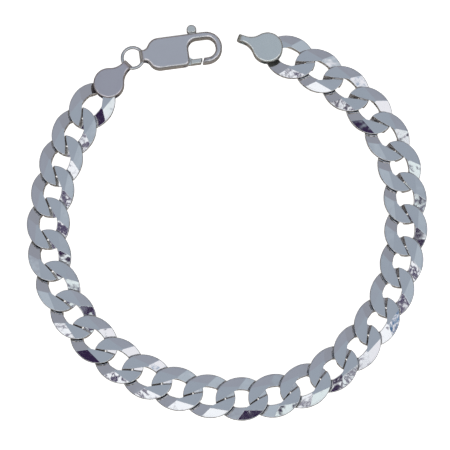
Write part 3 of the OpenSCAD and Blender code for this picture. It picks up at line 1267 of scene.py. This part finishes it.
@dataclass
class Studio:
    """A white table under a light tent, photographed from nearly straight above.

    The camera's sizes are millimetres; the table's, the soft box's and the clipping are metres.
    The tent is told by the direction that is looked at: x, y and z are its parts, and the bands
    between colours are where a measure of it rises from 0 at the first number to 1 at the second.
    """

    centre: Point = (-0.375, -0.504)
    distance: float = 500.0
    lean: float = 8.65
    focal_px: float = 2750.5
    image_px: float = 450.0
    sensor: float = 36.0
    clip: Point = (0.01, 50.0)
    floor_r: float = 1.6
    floor_drop: float = 0.00002
    floor_colour: str = "#F4F4F4"
    floor_roughness: float = 0.6
    floor_shine: float = 0.2
    floor_glow: float = 0.95
    box_place: tuple[float, float, float] = (0.55, -0.45, 0.42)
    box_size: float = 0.9
    box_power: float = 1.8
    ripple: float = 0.10
    curl_level: float = 0.5
    window_power: float = 1.22
    ragged: float = -0.12
    dark_edge: Point = (0.055, 0.065)
    dark_things: tuple[tuple[float, float, float], ...] = (
        (-0.35, -0.17, 0.07), (-0.42, -0.26, 0.06), (-0.46, -0.33, 0.06), (0.04, -0.45, 0.085))

    # Noise on the direction: its scale and its octaves.
    NOISES = {"ripples": (3.2, 1.0), "spots": (6.0, 2.0), "curls": (9.0, 1.0)}

    # Bands: a measure, and where its band begins and is full.
    BANDS = {
        "window": ("bent", -0.035, -0.075), "sides": ("sideways", 0.28, 0.48),
        "front": ("y", 0.05, 0.28), "back": ("y", 0.25, 0.45),
        "west": ("x", -0.44, -0.52), "behind": ("y", 0.0, 0.12),
        "low": ("z", 0.78, 0.70), "middle": ("x", -0.05, 0.12), "east": ("x", 0.3, 0.42),
        "curl": ("off_curl", 0.042, 0.032), "near_spot": ("spots", 0.46, 0.50),
        "far_east": ("x", 0.42, 0.50), "dark": ("spots", 0.66, 0.67),
        "patch": ("curls", 0.53, 0.60), "room": ("z", 0.58, 0.43)}

    COLOURS = {
        "tent_top": "#AEB6C0", "tent_side": "#C4CDD5", "tent_back": "#ABAEB8", "tent_low": "#A5A6AE",
        "window_west": "#FFFFFF", "window_middle": "#EBF3F0", "window_east": "#F5F2F3",
        "curl_near": "#4A3F5E", "curl_east": "#5580A4", "dark": "#38284A",
        "room_dark": "#4E4A42", "room_light": "#D6D2CC", "white": "#FFFFFF"}

    # Layers: what is made, the band that shows, what shows outside it and what inside it.
    WINDOW = (("window", "middle", "window_west", "window_middle"),
              ("window", "east", "window", "window_east"),
              ("curl", "far_east", "curl_near", "curl_east"),
              ("window", "curl", "window", "curl"))
    TENT = (("roof", "sides", "tent_top", "tent_side"), ("roof", "front", "roof", "tent_top"),
            ("roof", "back", "roof", "tent_back"), ("roof", "west", "roof", "tent_back"),
            ("roof", "low", "roof", "tent_low"), ("window", "dark", "window", "dark"),
            ("tent", "window", "roof", "window"), ("room", "patch", "room_dark", "room_light"),
            ("tent", "room", "tent", "room"), ("tent", "camera", "tent", "white"))

    def build_camera(self) -> None:
        """Builds the camera at the photograph's viewing angle and makes it the scene's own."""
        data = bpy.data.cameras.new("camera")
        data.sensor_width = self.sensor
        data.lens = self.focal_px / self.image_px * data.sensor_width
        data.clip_start, data.clip_end = self.clip
        camera = bpy.data.objects.new("camera", data)
        a = math.radians(self.lean)
        camera.location = Vector((self.centre[0], self.centre[1] - self.distance * math.sin(a),
                                  self.distance * math.cos(a))) * MM
        camera.rotation_euler = Matrix.Rotation(a, 3, "X").to_euler()
        bpy.context.scene.collection.objects.link(camera)
        bpy.context.scene.camera = camera

    def build_floor(self) -> None:
        """Builds the white table top, a hair below what lies on it."""
        bm = bmesh.new()
        bmesh.ops.create_circle(bm, cap_ends=True, segments=RING_TURNS, radius=self.floor_r)
        floor = mesh_object("table_top", bm)
        floor.data.transform(Matrix.Translation((0, 0, -self.floor_drop)))
        # Sheet acrylic, lit through: it hardly mirrors and glows a little.
        material = bpy.data.materials.new("white_acrylic_table")
        material.use_nodes = True
        tree = material.node_tree
        tree.nodes.clear()
        colour = linear(self.floor_colour)
        shader = add_node(tree, "ShaderNodeBsdfPrincipled", {
            "Base Color": colour, "Roughness": self.floor_roughness,
            "Specular IOR Level": self.floor_shine, "Emission Color": colour,
            "Emission Strength": self.floor_glow})
        add_node(tree, "ShaderNodeOutputMaterial", {"Surface": shader}, None)
        give(floor, material)
        floor.visible_glossy = False

    def measures(self, tree: Tree, way: Socket) -> dict[str, Socket]:
        """Builds the measures by which the tent's bands are told.

        Args:
            tree: The world's tree.
            way: The direction that is looked at.

        Returns:
            Their names and outputs.
        """
        axes = add_node(tree, "ShaderNodeSeparateXYZ", {0: way}, None)
        by = {"x": axes["X"], "y": axes["Y"], "z": axes["Z"]}
        for name, (scale, detail) in self.NOISES.items():
            by[name] = add_node(tree, "ShaderNodeTexNoise", {
                "Vector": way, "Scale": scale, "Detail": detail})
        by["bent"] = add_node(tree, "ShaderNodeMath", {0: by["ripples"], 1: self.ripple, 2: by["y"]},
                              operation="MULTIPLY_ADD")
        by["sideways"] = add_node(tree, "ShaderNodeMath", {0: by["x"]}, operation="ABSOLUTE")
        off = add_node(tree, "ShaderNodeMath", {0: by["curls"], 1: self.curl_level},
                       operation="SUBTRACT")
        by["off_curl"] = add_node(tree, "ShaderNodeMath", {0: off}, operation="ABSOLUTE")
        return by

    def bands(self, tree: Tree, way: Socket) -> dict[str, Socket]:
        """Builds the bands and spots of the tent.

        Args:
            tree: The world's tree.
            way: The direction that is looked at.

        Returns:
            Their names, and outputs that are 1 inside them.
        """
        by = self.measures(tree, way)
        told = dict(self.BANDS)
        for k, (x, y, size) in enumerate(self.dark_things):
            away = add_node(tree, "ShaderNodeVectorMath", {
                0: way, 1: (x, y, math.sqrt(1 - x * x - y * y))}, "Value", operation="DISTANCE")
            by[f"thing_{k}"] = add_node(tree, "ShaderNodeMath", {
                0: by["spots"], 1: self.ragged, 2: away}, operation="MULTIPLY_ADD")
            told[f"thing_{k}"] = (f"thing_{k}", size - self.dark_edge[0], size - self.dark_edge[1])
        inside = {
            name: add_node(tree, "ShaderNodeMapRange", {
                "Value": by[measure], "From Min": start, "From Max": full},
                interpolation_type="SMOOTHSTEP")
            for name, (measure, start, full) in told.items()}
        joins = [("west", "behind", "MULTIPLY"), ("curl", "near_spot", "MULTIPLY")]
        joins += [("dark", f"thing_{k}", "MAXIMUM") for k in range(len(self.dark_things))]
        for name, other, operation in joins:
            inside[name] = add_node(tree, "ShaderNodeMath", {0: inside[name], 1: inside[other]},
                                    operation=operation)
        inside["camera"] = add_node(tree, "ShaderNodeLightPath", out="Is Camera Ray")
        return inside

    @staticmethod
    def paint(tree: Tree, layers: Sequence[tuple[str, ...]], inside: dict[str, Socket],
              looks: dict[str, Any]) -> None:
        """Lays colours over each other.

        Args:
            tree: The world's tree.
            layers: For each, what is made, its band, and what shows outside and inside that.
            inside: The bands' outputs.
            looks: Colours and outputs by name, to which each layer adds what it makes.
        """
        for made, band, under, over in layers:
            looks[made] = add_node(tree, "ShaderNodeMix", {
                0: inside[band], 6: looks[under], 7: looks[over]}, 2, data_type="RGBA")

    def build_world(self) -> None:
        """Builds the light tent, seen only by what mirrors it; the camera sees plain white."""
        world = bpy.data.worlds.new("light_tent")
        bpy.context.scene.world = world
        world.use_nodes = True
        tree = world.node_tree
        tree.nodes.clear()
        inside = self.bands(tree, add_node(tree, "ShaderNodeTexCoord", out="Generated"))
        looks: dict[str, Any] = {name: linear(code) for name, code in self.COLOURS.items()}
        self.paint(tree, self.WINDOW, inside, looks)
        looks["window"] = add_node(tree, "ShaderNodeVectorMath", {
            0: looks["window"], "Scale": self.window_power}, operation="SCALE")
        self.paint(tree, self.TENT, inside, looks)
        glow = add_node(tree, "ShaderNodeBackground", {"Color": looks["tent"]})
        add_node(tree, "ShaderNodeOutputWorld", {"Surface": glow}, None)

    def build_light(self) -> None:
        """Builds the soft box beside the tent, which nothing mirrors."""
        data = bpy.data.lights.new("key_box", "AREA")
        data.shape, data.size, data.energy = "DISK", self.box_size, self.box_power
        light = bpy.data.objects.new("key_box", data)
        light.location = self.box_place
        light.visible_glossy = False
        light.rotation_euler = (-Vector(self.box_place)).to_track_quat("-Z", "Y").to_euler()
        bpy.context.scene.collection.objects.link(light)

    def build(self) -> None:
        """Builds camera, table, tent and soft box, and shows colours as they are."""
        self.build_camera()
        self.build_floor()
        self.build_world()
        self.build_light()
        bpy.context.scene.view_settings.view_transform = "Standard"
        bpy.context.scene.view_settings.look = "None"


# ---------------------------------------------------------------- main

def main() -> None:
    """Builds the bracelet piece by piece and sets it in the studio."""
    logging.basicConfig(level=logging.INFO, format="%(name)s: %(message)s")
    Studio().build()
    lie = Lie()
    spots = lie.links()

    chain = CurbChain(CurbLink(), lie)
    chain.dress(chain.build())

    left = EndCap(End.CLASP_END, reach=5.3, neck_w=1.7, pocket_end=-0.175)
    right = EndCap(End.FREE_END, reach=5.8, neck_w=1.3, pocket_end=0.325)
    ring = JumpRing()
    clasp = LobsterClasp()
    lever = ClaspLever(clasp)
    left_spot = lie.clasp_seat.spot(spots[0].facing(lie.first_heading - 180))
    tip = left_spot.ahead(left.reach, lie.ring_turn)
    ring_spot = tip.ahead(lie.tip_to_ring).facing(lie.clasp_from_ring)
    clasp_spot = ring_spot.ahead(lie.tip_to_ring + clasp.height / 2).facing(lie.clasp_heading)

    left.dress(left.build(left_spot, [ring.groove(ring_spot, left_spot)]), SHADED_WARM_CAP_SILVER.material())
    right.dress(right.build(lie.free_seat.spot(spots[-1])), LIT_PALE_CAP_SILVER.material())
    ring.dress(ring.build(ring_spot))
    clasp.dress(clasp.build(clasp_spot, ring.groove(ring_spot, clasp_spot)), CLASP_SILVER.material())
    lever.dress(lever.build(clasp_spot), LIT_PALE_LEVER_SILVER.material())
    give(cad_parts["clasp_pin"], PIN_STEEL.material())


if __name__ == "__main__":
    main()
